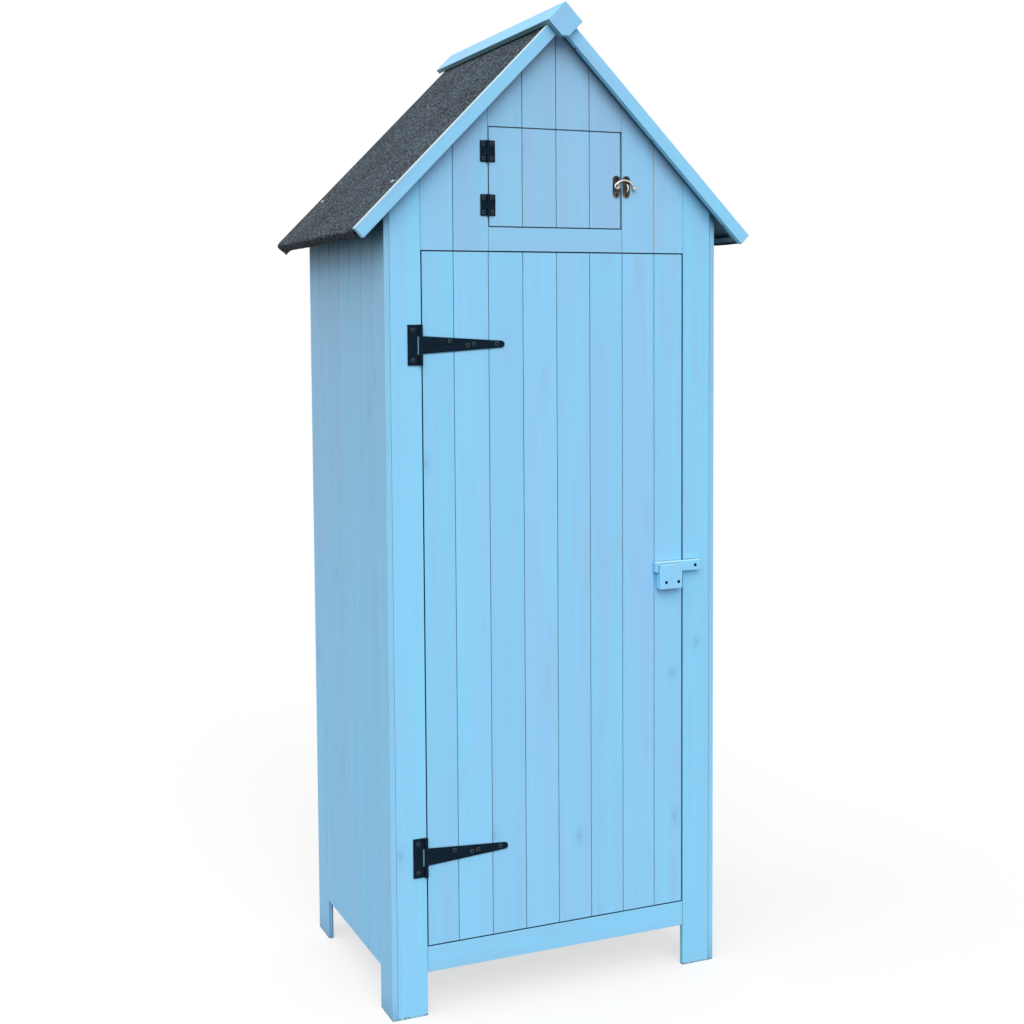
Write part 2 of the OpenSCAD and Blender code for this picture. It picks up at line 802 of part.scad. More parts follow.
// One leaf of a hatch hinge: side -1 is the frame's, with the two end knuckles, and side 1 the hatch's
module butt_leaf(side, z) {
  sixth = butt_h / 6;
  room = butt_barrel_d / 2 + 2 * move_gap;
  own_x = side < 0 ? [butt_x - butt_leaf_w, butt_x] : [butt_x, butt_x + butt_leaf_w];
  room_x = side < 0 ? [butt_x - room, butt_x + past] : [butt_x - past, butt_x + room];
  spans = side < 0 ? [[-sixth, sixth]] : [[-butt_h, -sixth + move_gap], [sixth - move_gap, butt_h]];
  color(iron_black) difference() {
    union() {
      block(own_x, [front_y - butt_t, front_y], [z - butt_h / 2, z + butt_h / 2]);
      if (side < 0) {
        knuckle(butt_x, butt_y, butt_barrel_d, z - butt_h / 2, z - sixth);
        knuckle(butt_x, butt_y, butt_barrel_d, z + sixth, z + butt_h / 2);
      } else {
        knuckle(butt_x, butt_y, butt_barrel_d, z - sixth + move_gap, z + sixth - move_gap);
      }
    }
    // Room for the other leaf's knuckles
    for (span = spans)
      block(room_x, [butt_y - butt_barrel_d, front_y + past], [z + span[0], z + span[1]]);
    knuckle(butt_x, butt_y, butt_pin_d + 2 * pin_play, z - butt_h, z + butt_h);
    for (dz = butt_holes) shank_hole(butt_x + side * butt_hole_x, z + dz);
  }
}

module hatch_hinge_frame_leaves() for (z = [lower_butt_z, upper_butt_z]) butt_leaf(-1, z);
module hatch_hinge_leaves() for (z = [lower_butt_z, upper_butt_z]) butt_leaf(1, z);

module hatch_hinge_pins() {
  color(iron_black) for (z = [lower_butt_z, upper_butt_z])
    knuckle(butt_x, butt_y, butt_pin_d, z - butt_h / 2, z + butt_h / 2);
}

module butt_screws(side) {
  color(iron_black) for (z = [lower_butt_z, upper_butt_z], dz = butt_holes)
    screw_at(butt_x + side * butt_hole_x, front_y - butt_t, z + dz);
}

module hatch_frame_screws() butt_screws(-1);
module hatch_hinge_screws() butt_screws(1);

// Plate with round ends and two screw holes
module catch_plate(x) {
  end = catch_h / 2 - catch_w / 2;
  difference() {
    translate([x, front_y, catch_z]) rotate([90, 0, 0]) linear_extrude(catch_t) {
      square([catch_w, 2 * end], center = true);
      for (s = [-1, 1]) translate([0, s * end]) circle(d = catch_w);
    }
    for (p = catch_holes) shank_hole(x + p[0], catch_z + p[1]);
  }
}

// Hook's plate with the headed stud on which the hook turns
module catch_hook_plate() {
  stud_d = 2 * (hook_boss_r - pin_play);
  cap_d = stud_d + 1.2;
  cap_t = 1;
  front = hook_y - wire_d / 2 - move_gap;
  stud_l = front_y - catch_t - front;
  color(aged_metal) union() {
    catch_plate(hook_x);
    translate([hook_x, front, hook_z]) rotate([-90, 0, 0]) cylinder(d = stud_d, h = stud_l);
    translate([hook_x, front - cap_t, hook_z]) rotate([-90, 0, 0]) cylinder(d = cap_d, h = cap_t);
  }
}

module catch_hook_screws() {
  color(aged_metal) for (p = catch_holes) screw_at(hook_x + p[0], front_y - catch_t, catch_z + p[1]);
}

// Wire hook: an eye round the stud, an arc over the staple and a knob at its end
module hook_arm() {
  start = 134;
  finish = 21;
  lead = 0.8;
  arc_r = (hook_reach + lead) / (cos(finish) - cos(start));
  cx = -arc_r * cos(start) - lead;
  cz = ring_r - arc_r * sin(start);
  color(aged_metal) translate([hook_x, hook_y, hook_z]) rotate([90, 0, 0]) union() {
    rotate_extrude() translate([ring_r, 0]) circle(d = wire_d);
    translate([cx, cz, 0]) rotate([0, 0, finish]) rotate_extrude(angle = start - finish)
      translate([arc_r, 0]) circle(d = wire_d);
    translate([cx + arc_r * cos(finish), cz + arc_r * sin(finish), 0]) sphere(d = knob_d);
  }
}

// Staple's plate with the half ring that the hook drops over
module catch_staple_plate() {
  color(aged_metal) union() {
    catch_plate(staple_x);
    translate([staple_x, front_y - catch_t, catch_z - staple_drop]) rotate([0, -90, 0]) rotate([0, 0, 180])
      rotate_extrude(angle = 180) translate([staple_r, 0]) circle(d = staple_d);
  }
}

module catch_staple_screws() {
  color(aged_metal) for (p = catch_holes) screw_at(staple_x + p[0], front_y - catch_t, catch_z + p[1]);
}

left_side_boards();
right_side_boards();
left_side_battens();
right_side_battens();
back_boards();
back_battens();
left_stile();
right_stile();
bottom_rail();
hatch_rail();
left_gable_boards();
right_gable_boards();
top_gable_boards();
left_front_post();
right_front_post();
door_header();
hatch_stops();
floor_bearers();
floor_boards();
lower_shelf();
upper_shelf();
loft_floor();
left_roof_boards();
right_roof_boards();
left_roof_battens();
right_roof_battens();
left_felt();
right_felt();
left_bargeboard();
right_bargeboard();
left_ridge_board();
right_ridge_board();
ridge_end_plate();
upper_hinge_leaf();
lower_hinge_leaf();
hinge_pins();
leaf_screws();
hatch_hinge_frame_leaves();
hatch_hinge_pins();
hatch_frame_screws();
catch_staple_plate();
catch_staple_screws();
latch_pivot_screw();
door_boards();
door_ledges();
upper_hinge_strap();
lower_hinge_strap();
strap_screws();
latch_keeper();
latch_keeper_screws();
hatch_boards();
hatch_ledges();
hatch_hinge_leaves();
hatch_hinge_screws();
catch_hook_plate();
catch_hook_screws();
hook_arm();
latch_bar();
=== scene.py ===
import math
import random

import bmesh
import bpy
from mathutils import Matrix, Vector, noise


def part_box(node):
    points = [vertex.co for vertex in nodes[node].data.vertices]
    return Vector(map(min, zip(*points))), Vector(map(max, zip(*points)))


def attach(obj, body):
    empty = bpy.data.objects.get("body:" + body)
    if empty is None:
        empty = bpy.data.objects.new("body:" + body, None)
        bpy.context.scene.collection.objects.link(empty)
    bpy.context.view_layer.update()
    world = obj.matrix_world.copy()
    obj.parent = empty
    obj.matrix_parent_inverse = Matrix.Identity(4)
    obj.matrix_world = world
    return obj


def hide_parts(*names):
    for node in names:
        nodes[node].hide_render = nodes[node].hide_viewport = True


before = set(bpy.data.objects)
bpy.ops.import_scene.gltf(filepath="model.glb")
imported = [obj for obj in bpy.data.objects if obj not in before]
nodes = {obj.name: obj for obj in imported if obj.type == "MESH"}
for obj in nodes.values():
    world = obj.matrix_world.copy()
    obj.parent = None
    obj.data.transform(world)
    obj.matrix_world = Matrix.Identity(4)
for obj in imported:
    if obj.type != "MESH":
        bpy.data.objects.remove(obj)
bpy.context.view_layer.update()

mm = 0.001
random.seed(7)


# small helpers for building shader nodes

def addNode(tree, kind, inputs=None, **settings):
    made = tree.nodes.new("ShaderNode" + kind)
    for key, value in settings.items():
        setattr(made, key, value)
    for key, value in (inputs or {}).items():
        if isinstance(value, bpy.types.NodeSocket):
            tree.links.new(value, made.inputs[key])
        else:
            made.inputs[key].default_value = value
    return made


def calc(tree, operation, a, b=0.0, clamp=False):
    made = addNode(tree, "Math", {0: a, 1: b}, operation=operation, use_clamp=clamp)
    return made.outputs[0]


def times(tree, a, b):
    return calc(tree, "MULTIPLY", a, b)


def sway(tree, value, depth):  # a noise between 0 and 1, as a swing of this depth about 0
    return times(tree, calc(tree, "SUBTRACT", value, 0.5), depth)


def remap(tree, value, low, high, outLow=0.0, outHigh=1.0):
    made = addNode(
        tree, "MapRange",
        {"Value": value, "From Min": low, "From Max": high, "To Min": outLow, "To Max": outHigh},
        interpolation_type="SMOOTHSTEP", clamp=True,
    )
    return made.outputs["Result"]


def mixColour(tree, share, a, b, mode="MIX"):
    made = tree.nodes.new("ShaderNodeMix")
    made.data_type = "RGBA"
    made.blend_type = mode
    for socket, value in ((0, share), (6, a), (7, b)):
        if isinstance(value, bpy.types.NodeSocket):
            tree.links.new(value, made.inputs[socket])
        elif socket == 0:
            made.inputs[socket].default_value = value
        else:
            made.inputs[socket].default_value = (*value[:3], 1.0)
    return made.outputs[2]


def scaleColour(tree, colour, factor):
    grey = addNode(tree, "CombineColor", {0: factor, 1: factor, 2: factor}).outputs[0]
    return mixColour(tree, 1.0, colour, grey, "MULTIPLY")


def dotWith(tree, point, direction):
    made = addNode(tree, "VectorMath", {0: point, 1: direction}, operation="DOT_PRODUCT")
    return made.outputs["Value"]


def vectorMath(tree, operation, a, b):
    return addNode(tree, "VectorMath", {0: a, 1: b}, operation=operation).outputs[0]


def vectorOf(tree, x, y, z):
    return addNode(tree, "CombineXYZ", {0: x, 1: y, 2: z}).outputs[0]


def noiseAt(tree, vector, scale=1.0, detail=2.0, roughness=0.5, distortion=0.0):
    made = addNode(tree, "TexNoise", {
        "Vector": vector, "Scale": scale, "Detail": detail,
        "Roughness": roughness, "Distortion": distortion,
    })
    return made.outputs["Fac"]


def seenDirectly(tree):  # 1 where the camera sees a thing, also in a mirror or through glass
    path = addNode(tree, "LightPath").outputs
    return calc(tree, "MAXIMUM", path["Is Camera Ray"],
                calc(tree, "MAXIMUM", path["Is Glossy Ray"], path["Is Transmission Ray"]))


def newMaterial(name):
    material = bpy.data.materials.new(name)
    material.use_nodes = True
    tree = material.node_tree
    tree.nodes.clear()
    shader = addNode(tree, "BsdfPrincipled")
    output = addNode(tree, "OutputMaterial")
    tree.links.new(shader.outputs[0], output.inputs["Surface"])
    point = addNode(tree, "TexCoord").outputs["Object"]
    return material, tree, shader, point


def bump(tree, height, distance, strength=1.0):
    made = addNode(tree, "Bump", {"Height": height, "Distance": distance, "Strength": strength})
    return made.outputs["Normal"]


# painted softwood: one coat over boards, so grain, knots and each board's own tone show through faintly

paint = {
    "cyan": (0.244, 0.655, 0.980),        # the coat wanders between these two blues
    "lilac": (0.285, 0.570, 0.895),
    "toneSpread": 0.05,                   # how far boards differ from each other
    "hueSpread": 0.55,
    "bandSpread": 0.34,                   # how far the hue wanders inside one board
    "bandStreaks": (42.0, 1.4),           # streaks per metre, across the grain and along it
    "fineStreaks": (520.0, 9.0),
    "fineDepth": 0.035,
    "broadStreaks": (95.0, 2.6),
    "broadDepth": 0.05,
    "cloudStreaks": (30.0, 5.0),
    "thinColour": (0.300, 0.470, 0.640),  # greyer, where the coat is thin
    "thinDepth": 0.34,
    "knotColour": (0.150, 0.360, 0.620),
    "knotSize": (4.5 * mm, 8.0 * mm),
    "knotCell": (95 * mm, 330 * mm),      # one possible knot in each patch of this size
    "knotShare": 0.28,
    "knotDepth": 0.32,
    "haloDepth": 0.17,                    # the stain round a knot
    "haloBend": 0.012,                    # and how far it bends the grain
    "rawColour": (0.150, 0.170, 0.110),   # bare, dirty wood in the chips
    "chipHeight": 7 * mm,
    "chipDepth": 0.8,
    "rimWidth": 1.2 * mm,                 # painted shade along the rims of the hatch, in its gaps
    "gapShadeColour": (0.012, 0.055, 0.115),   # painted shade on the narrow edges in the gaps
    "highlightColour": (0.640, 0.710, 0.590),  # painted highlight on faces that catch the light
    "underShadeColour": (0.250, 0.570, 0.700),  # painted shade on undersides
    "ridgeShadeColour": (0.090, 0.260, 0.300),  # and darker painted shade on those of the ridge
    "fadeColour": (0.320, 0.410, 0.540),  # greyer, duller colour towards the roof
    "fadeHeights": (0.2, 1.6),
    "eaveShadeHeights": (1.0, 1.3),         # heights between which the painted shade under the eaves sets in
    "roughness": 0.52,
    "roughnessSpread": 0.16,
    "relief": 0.22 * mm,
}
hollowShades = {  # painted shade where other faces are within reach, until the given shares of the view are open
    "bargeShade": {"reach": 60 * mm, "colour": (0.270, 0.370, 0.470), "open": (0.45, 0.90)},
    "eaveShade": {"reach": 75 * mm, "colour": (0.000, 0.046, 0.060), "open": (0.45, 0.86)},
    "creviceShade": {"reach": 5 * mm, "colour": (0.006, 0.034, 0.080), "open": (0.36, 0.76)},
}
plainFinish = {  # what a piece gets unless its own finish says otherwise
    "cast": 0.0,        # below 0 the paint leans to cyan, above it to lilac
    "variety": 0.8,     # how much its boards differ
    "tone": 1.0,
    "highlightWay": None,    # which way its faces with a painted highlight look
    "highlightShare": 0.85,
    "underWay": None,   # which way its faces with painted shade look
    "underShare": 0.5,
    "underColour": paint["underShadeColour"],
    "endWays": [],      # which ways its edges with painted shade in the gaps look
    "rim": None,        # node whose rims get painted shade
    "fade": 0.0,        # greyer, duller colour towards the roof
    "bargeShade": 0.0,        # painted shade, greyer and duller, under the bargeboards
    "eaveShade": 0.0,     # painted shade under the eaves
    "creviceShade": 0.88,    # painted shade in the joints and gaps
    "gloss": 0.35,
}
slant = math.sqrt(0.5)  # the roof slopes at 45 degrees
upLeft, upRight, downLeft = (-slant, 0, slant), (slant, 0, slant), (-slant, 0, -slant)
grainWays = {  # directions across the boards and along them
    "up, across x": ((1, 0, 0), (0, 0, 1)),
    "up, across y": ((0, 1, 0), (0, 0, 1)),
    "along x, across z": ((0, 0, 1), (1, 0, 0)),
    "along x, across y": ((0, 1, 0), (1, 0, 0)),
    "along y, across x": ((1, 0, 0), (0, 1, 0)),
    "along y, across z": ((0, 0, 1), (0, 1, 0)),
    "down the left slope": (upLeft, upRight),
    "down the right slope": (upRight, upLeft),
}


def paintedTimber(name, way, seed, boardStart=-5.0, boardWidth=10.0, finish=None):
    wish = {**plainFinish, **(finish or {})}
    across, along = (Vector(v) for v in grainWays[way])
    material, tree, shader, point = newMaterial(name)
    sideways = dotWith(tree, point, across)
    deep = dotWith(tree, point, across.cross(along))
    height = dotWith(tree, point, (0, 0, 1))

    # every board has its own random tone and its own stretch of grain
    board = calc(tree, "DIVIDE", calc(tree, "SUBTRACT", sideways, boardStart), boardWidth)
    boardSeed = vectorOf(tree, calc(tree, "FLOOR", board), seed, 0.5)
    chance = addNode(tree, "TexWhiteNoise", {"Vector": boardSeed}, noise_dimensions="3D").outputs["Color"]
    chances = addNode(tree, "SeparateColor", {0: chance}).outputs
    gridA = calc(tree, "ADD", sideways, times(tree, chances[0], 3.0))
    gridL = calc(tree, "ADD", dotWith(tree, point, along), times(tree, chances[1], 9.0))

    # knots: an ellipse at the nearest seed point of a stretched cell pattern
    cellA, cellL = paint["knotCell"]
    grid = vectorOf(tree, calc(tree, "DIVIDE", gridA, cellA), calc(tree, "DIVIDE", gridL, cellL), 0.0)
    cell = addNode(tree, "TexVoronoi", {"Vector": grid, "Scale": 1.0}, voronoi_dimensions="2D").outputs
    away = vectorMath(tree, "SUBTRACT", grid, cell["Position"])
    knotA, knotL = paint["knotSize"]
    ellipse = vectorMath(tree, "MULTIPLY", away, (cellA / knotA, cellL / knotL, 0))
    reach = addNode(tree, "VectorMath", {0: ellipse}, operation="LENGTH").outputs["Value"]
    cellChance = addNode(tree, "SeparateColor", {0: cell["Color"]}).outputs[0]
    hasKnot = calc(tree, "LESS_THAN", cellChance, paint["knotShare"])
    reach = calc(tree, "ADD", reach, times(tree, noiseAt(tree, point, 90.0, 3.0, 0.6), 1.1))
    knot = times(tree, remap(tree, reach, 0.7, 2.1, 1.0, 0.0), hasKnot)
    halo = times(tree, remap(tree, reach, 1.2, 4.8, 1.0, 0.0), hasKnot)

    def streaks(place, kind, detail, roughness, distortion=0.0):
        perAcross, perAlong = paint[kind]
        stretched = vectorOf(tree, times(tree, place, perAcross), times(tree, gridL, perAlong),
                             times(tree, deep, perAcross))
        return noiseAt(tree, stretched, 1.0, detail, roughness, distortion)

    # grain: long streaks that bend round the knots
    bent = calc(tree, "ADD", gridA, times(tree, halo, paint["haloBend"]))
    fine = streaks(bent, "fineStreaks", 3.0, 0.6)
    broad = streaks(bent, "broadStreaks", 3.0, 0.55, 0.6)
    cloud = streaks(gridA, "cloudStreaks", 4.0, 0.6, 0.4)
    bands = streaks(gridA, "bandStreaks", 2.0, 0.5, 0.3)

    dark = paint["toneSpread"] * wish["variety"]
    tone = remap(tree, chances[2], 0.0, 1.0, wish["tone"] * (1.0 - dark), wish["tone"])
    grain = calc(tree, "ADD", sway(tree, fine, paint["fineDepth"]), sway(tree, broad, paint["broadDepth"]))
    tone = calc(tree, "ADD", tone, grain)
    thin = times(tree, remap(tree, cloud, 0.54, 0.80), paint["thinDepth"])
    spread = paint["hueSpread"] * wish["variety"]
    boardHue = remap(tree, chances[1], 0.0, 1.0, 0.5 - spread / 2, 0.5 + spread / 2)
    lowHue, highHue = wish["cast"] - paint["bandSpread"], wish["cast"] + paint["bandSpread"]
    hue = calc(tree, "ADD", remap(tree, bands, 0.28, 0.72, lowHue, highHue), boardHue, clamp=True)
    colour = mixColour(tree, hue, paint["cyan"], paint["lilac"])
    colour = mixColour(tree, thin, colour, paint["thinColour"])
    colour = scaleColour(tree, colour, tone)
    colour = mixColour(tree, times(tree, halo, paint["haloDepth"]), colour, paint["knotColour"])
    colour = mixColour(tree, times(tree, knot, paint["knotDepth"]), colour, paint["knotColour"])

    # edges and undersides, by the way each face looks in the piece's own axes
    faceWay = addNode(tree, "TexCoord").outputs["Normal"]
    # painted shade on faces that look the under way
    if wish["underWay"]:
        under = remap(tree, dotWith(tree, faceWay, wish["underWay"]), 0.55, 0.85, 0.0, wish["underShare"])
        colour = mixColour(tree, under, colour, wish["underColour"])
    # painted highlight, in patches, on faces that look the highlight way
    if wish["highlightWay"]:
        wearAndHighlight = remap(tree, dotWith(tree, faceWay, wish["highlightWay"]), 0.45, 0.85, 0.0, wish["highlightShare"])
        wearAndHighlight = times(tree, wearAndHighlight, remap(tree, cloud, 0.25, 0.65, 1.0, 0.7))
        colour = mixColour(tree, wearAndHighlight, colour, paint["highlightColour"])
    # painted shade on the edges that look into the gaps
    for endWay in wish["endWays"]:
        edge = remap(tree, dotWith(tree, faceWay, endWay), 0.90, 0.97, 0.0, 0.85)
        colour = mixColour(tree, edge, colour, paint["gapShadeColour"])

    if wish["fade"]:
        faded = remap(tree, height, *paint["fadeHeights"], 0.0, wish["fade"])
        colour = mixColour(tree, faded, colour, paint["fadeColour"])
    if wish["rim"]:  # painted shade along the left, bottom and top rims
        low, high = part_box(wish["rim"])
        toEdge = calc(tree, "SUBTRACT", dotWith(tree, point, (1, 0, 0)), low.x)
        toEdge = calc(tree, "MINIMUM", toEdge, calc(tree, "SUBTRACT", height, low.z))
        toEdge = calc(tree, "MINIMUM", toEdge, calc(tree, "SUBTRACT", high.z, height))
        paintedLight = remap(tree, toEdge, 0.5 * paint["rimWidth"], 1.5 * paint["rimWidth"], 0.9, 0.0)
        colour = mixColour(tree, paintedLight, colour, paint["gapShadeColour"])

    # chips along the cut ends that stand on the ground
    ragged = noiseAt(tree, point, 210.0, 3.0, 0.65)
    limit = times(tree, remap(tree, ragged, 0.42, 0.72), paint["chipHeight"])
    chip = remap(tree, calc(tree, "SUBTRACT", limit, height), 0.0, 0.9 * mm)
    colour = mixColour(tree, times(tree, chip, paint["chipDepth"]), colour, paint["rawColour"])

    # painted shade in the joints and sheltered corners
    for kind, hollow in hollowShades.items():
        if wish[kind]:
            openness = addNode(tree, "AmbientOcclusion", {"Distance": hollow["reach"]}, samples=5)
            share = remap(tree, openness.outputs["AO"], *hollow["open"], wish[kind], 0.0)
            if kind == "eaveShade":
                share = times(tree, share, remap(tree, height, *paint["eaveShadeHeights"], 0.3, 1.0))
            colour = mixColour(tree, share, colour, hollow["colour"])

    tree.links.new(colour, shader.inputs["Base Color"])
    rough = calc(tree, "ADD", paint["roughness"], sway(tree, fine, paint["roughnessSpread"]))
    tree.links.new(rough, shader.inputs["Roughness"])
    shader.inputs["Specular IOR Level"].default_value = wish["gloss"]
    relief = calc(tree, "ADD", fine, times(tree, broad, 1.6))
    relief = calc(tree, "SUBTRACT", relief, times(tree, chip, 2.5))
    tree.links.new(bump(tree, relief, paint["relief"], 0.5), shader.inputs["Normal"])
    return material


# black mineral felt: crushed granules pressed into bitumen

feltLook = {
    "dark": (0.010, 0.016, 0.023),
    "mid": (0.064, 0.095, 0.128),
    "light": (0.225, 0.285, 0.335),
    "granule": 2.2 * mm,
    "relief": 0.6 * mm,
    "roughness": 0.86,
    "downShadeTone": 0.50,    # painted shade on faces that look down, where the sheet is folded
    "edgeShadowWidth": 4 * mm,  # painted shadow along its edge against the bargeboard
    "edgeShadowTone": 0.25,
}


def mineralFelt(name, frontY):
    material, tree, shader, point = newMaterial(name)
    cells = addNode(tree, "TexVoronoi", {"Vector": point, "Scale": 1.0 / feltLook["granule"]}).outputs
    chance = addNode(tree, "SeparateColor", {0: cells["Color"]}).outputs
    clump = noiseAt(tree, point, 240.0, 3.0, 0.6)
    brightness = calc(tree, "ADD", times(tree, chance[0], 0.90), times(tree, clump, 0.24))
    colour = mixColour(tree, remap(tree, brightness, 0.22, 0.80), feltLook["dark"], feltLook["mid"])
    colour = mixColour(tree, remap(tree, brightness, 0.74, 1.00), colour, feltLook["light"])
    gaps = remap(tree, cells["Distance"], 0.25, 0.75, 1.0, 0.45)
    colour = scaleColour(tree, colour, gaps)
    # wear: the felt is lighter and darker in broad patches
    wearAndHighlight = noiseAt(tree, point, 9.0, 3.0, 0.6)
    colour = scaleColour(tree, colour, remap(tree, wearAndHighlight, 0.3, 0.7, 0.82, 1.12))
    # painted shade on the faces that look down
    upward = dotWith(tree, addNode(tree, "TexCoord").outputs["Normal"], (0, 0, 1))
    colour = scaleColour(tree, colour, remap(tree, upward, -0.45, 0.35, feltLook["downShadeTone"], 1.0))
    # painted shadow along the edge against the bargeboard
    inside = calc(tree, "SUBTRACT", dotWith(tree, point, (0, 1, 0)), frontY)
    edgeShadow = remap(tree, inside, 0.4 * feltLook["edgeShadowWidth"], feltLook["edgeShadowWidth"], feltLook["edgeShadowTone"], 1.0)
    colour = scaleColour(tree, colour, edgeShadow)
    tree.links.new(colour, shader.inputs["Base Color"])
    shader.inputs["Roughness"].default_value = feltLook["roughness"]
    shader.inputs["Specular IOR Level"].default_value = 0.12
    dome = remap(tree, cells["Distance"], 0.0, 0.8, 1.0, 0.0)
    height = times(tree, dome, calc(tree, "ADD", 0.5, chance[1]))
    tree.links.new(bump(tree, height, feltLook["relief"], 0.8), shader.inputs["Normal"])
    return material


# black stove-painted steel of the hinges

ironLook = {
    "colour": (0.0010, 0.0060, 0.0150),
    "paintedLight": (0.095, 0.120, 0.135),  # painted highlight on the rims of the screw heads
    "dust": (0.012, 0.024, 0.036),
    "sheen": (0.45, 0.75, 1.0),       # tint of its reflection
    "roughness": (0.28, 0.46),
}


def blackSteel(name, base):
    material, tree, shader, point = newMaterial(name)
    speckle = noiseAt(tree, point, 900.0, 2.0, 0.6)
    smear = noiseAt(tree, point, 70.0, 4.0, 0.6)
    dusty = times(tree, remap(tree, smear, 0.45, 0.75), 0.30)
    tree.links.new(mixColour(tree, dusty, base, ironLook["dust"]), shader.inputs["Base Color"])
    tree.links.new(remap(tree, smear, 0.3, 0.7, *ironLook["roughness"]), shader.inputs["Roughness"])
    shader.inputs["Specular IOR Level"].default_value = 0.16
    shader.inputs["Specular Tint"].default_value = (*ironLook["sheen"], 1.0)
    tree.links.new(bump(tree, speckle, 0.05 * mm, 0.5), shader.inputs["Normal"])
    return material


# catch: dark antique plates and bright wire

catchLook = {
    "plate": (0.030, 0.030, 0.034),
    "reflectionColour": (0.200, 0.175, 0.150),
    "wire": (0.780, 0.720, 0.640),
    "wireShade": (0.340, 0.270, 0.210),
    "ball": (0.470, 0.380, 0.310),
    "screw": (0.014, 0.016, 0.024),
    "plateThickness": 1.2 * mm,
    "standing": (0.2 * mm, 0.9 * mm),    # how far a part of a plate stands up before it is bright
    "paintedLightFrom": (-4 * mm, -12 * mm),   # painted reflection on the plates, setting in this far below the stud
    "studHeight": 5.9 * mm,              # the stud's middle over the lowest point of the hook
    "studHighlight": (1.5 * mm, 2.0 * mm),    # round the painted highlight in the middle of the stud
    "studReach": (4.0 * mm, 4.4 * mm),
    "ballReach": (4.2 * mm, 5.0 * mm),   # round the middle of the hook's knob
}


def antiquePlate(name, frontY, stud):
    material, tree, shader, point = newMaterial(name)
    stain = noiseAt(tree, point, 260.0, 4.0, 0.65)
    height = dotWith(tree, point, (0, 0, 1))
    raggedHeight = calc(tree, "ADD", times(tree, stain, 9 * mm), calc(tree, "SUBTRACT", height, stud.z))
    # painted reflection on the lower part of the plates
    paintedLight = remap(tree, raggedHeight, *catchLook["paintedLightFrom"], 0.05, 0.85)
    colour = mixColour(tree, paintedLight, catchLook["plate"], catchLook["reflectionColour"])
    shade = remap(tree, stain, 0.45, 0.75, 0.0, 0.5)
    wire = mixColour(tree, shade, catchLook["wire"], catchLook["wireShade"])
    depth = calc(tree, "SUBTRACT", frontY - catchLook["plateThickness"], dotWith(tree, point, (0, 1, 0)))
    standing = remap(tree, depth, *catchLook["standing"])
    flat = vectorMath(tree, "MULTIPLY", vectorMath(tree, "SUBTRACT", point, tuple(stud)), (1, 0, 1))
    reach = addNode(tree, "VectorMath", {0: flat}, operation="LENGTH").outputs["Value"]
    # painted shade in a ring round the stud's painted highlight
    studShade = times(tree, remap(tree, reach, *catchLook["studHighlight"]),
                 remap(tree, reach, *catchLook["studReach"], 1.0, 0.0))
    wire = mixColour(tree, studShade, wire, catchLook["plate"])
    colour = mixColour(tree, standing, colour, wire)
    tree.links.new(colour, shader.inputs["Base Color"])
    shader.inputs["Metallic"].default_value = 0.55
    tree.links.new(remap(tree, stain, 0.3, 0.7, 0.26, 0.44), shader.inputs["Roughness"])
    tree.links.new(bump(tree, stain, 0.12 * mm, 0.4), shader.inputs["Normal"])
    return material


def nickelWire(name, ball):
    material, tree, shader, point = newMaterial(name)
    stain = noiseAt(tree, point, 300.0, 3.0, 0.6)
    shade = remap(tree, stain, 0.48, 0.78, 0.0, 0.5)
    colour = mixColour(tree, shade, catchLook["wire"], catchLook["wireShade"])
    reach = addNode(tree, "VectorMath", {0: point, 1: tuple(ball)}, operation="DISTANCE").outputs["Value"]
    knob = remap(tree, reach, *catchLook["ballReach"], 0.85, 0.0)
    colour = mixColour(tree, knob, colour, catchLook["ball"])
    tree.links.new(colour, shader.inputs["Base Color"])
    shader.inputs["Metallic"].default_value = 0.45
    tree.links.new(remap(tree, stain, 0.3, 0.7, 0.24, 0.40), shader.inputs["Roughness"])
    return material


print("stage: materials for the timbers")
frontWidth = 66 * mm  # cover width of one front board


def rowOf(node, axis):  # where its boards start, and how wide they are
    low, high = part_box(node)
    count = max(1, round((high[axis] - low[axis]) / frontWidth))
    return low[axis], (high[axis] - low[axis]) / count


def dress(node, material):
    piece = nodes[node]
    piece.data.materials.clear()
    piece.data.materials.append(material)


rows = {  # nodes that hold a row of boards: grain way, axis across the boards
    "left_side_boards": ("up, across y", 1),
    "right_side_boards": ("up, across y", 1),
    "back_boards": ("up, across x", 0),
    "floor_boards": ("along x, across y", 1),
    "lower_shelf": ("along x, across y", 1),
    "upper_shelf": ("along x, across y", 1),
    "loft_floor": ("along x, across y", 1),
    "left_roof_boards": ("along y, across x", 0),
    "right_roof_boards": ("along y, across x", 0),
}
for seed, (node, (way, axis)) in enumerate(rows.items()):
    start, width = rowOf(node, axis)
    finish = {"variety": 0.4, "fade": 0.30, "eaveShade": 0.96, "creviceShade": 0.4, "gloss": 0.10}
    if "roof" in node:
        finish = {"eaveShade": 0.78, "creviceShade": 0.3, "gloss": 0.10}
    dress(node, paintedTimber("paint_" + node, way, 3.0 + seed, start, width, finish))

# the front's boards all fall on whole board widths from the middle
frontRows = {
    "left_gable_boards": {"bargeShade": 0.24, "fade": 0.08, "endWays": [(0, 0, -1)]},
    # painted highlight on the board edges that face left
    "right_gable_boards": {"bargeShade": 0.40, "cast": 0.3, "fade": 0.08, "creviceShade": 0.35,
                           "highlightWay": (-1, 0, 0), "highlightShare": 0.9},
    "top_gable_boards": {"bargeShade": 0.45, "fade": 0.24, "endWays": [(0, 0, -1)]},
    "door_boards": {"creviceShade": 0.50, "endWays": [(-1, 0, 0), (0, 0, -1)]},
    "hatch_boards": {"creviceShade": 0.80, "endWays": [(-1, 0, 0)], "fade": 0.20, "rim": "hatch_boards"},
}
for seed, (node, finish) in enumerate(frontRows.items()):
    dress(node, paintedTimber("paint_" + node, "up, across x", 31.0 + seed, 0.0, frontWidth, finish))
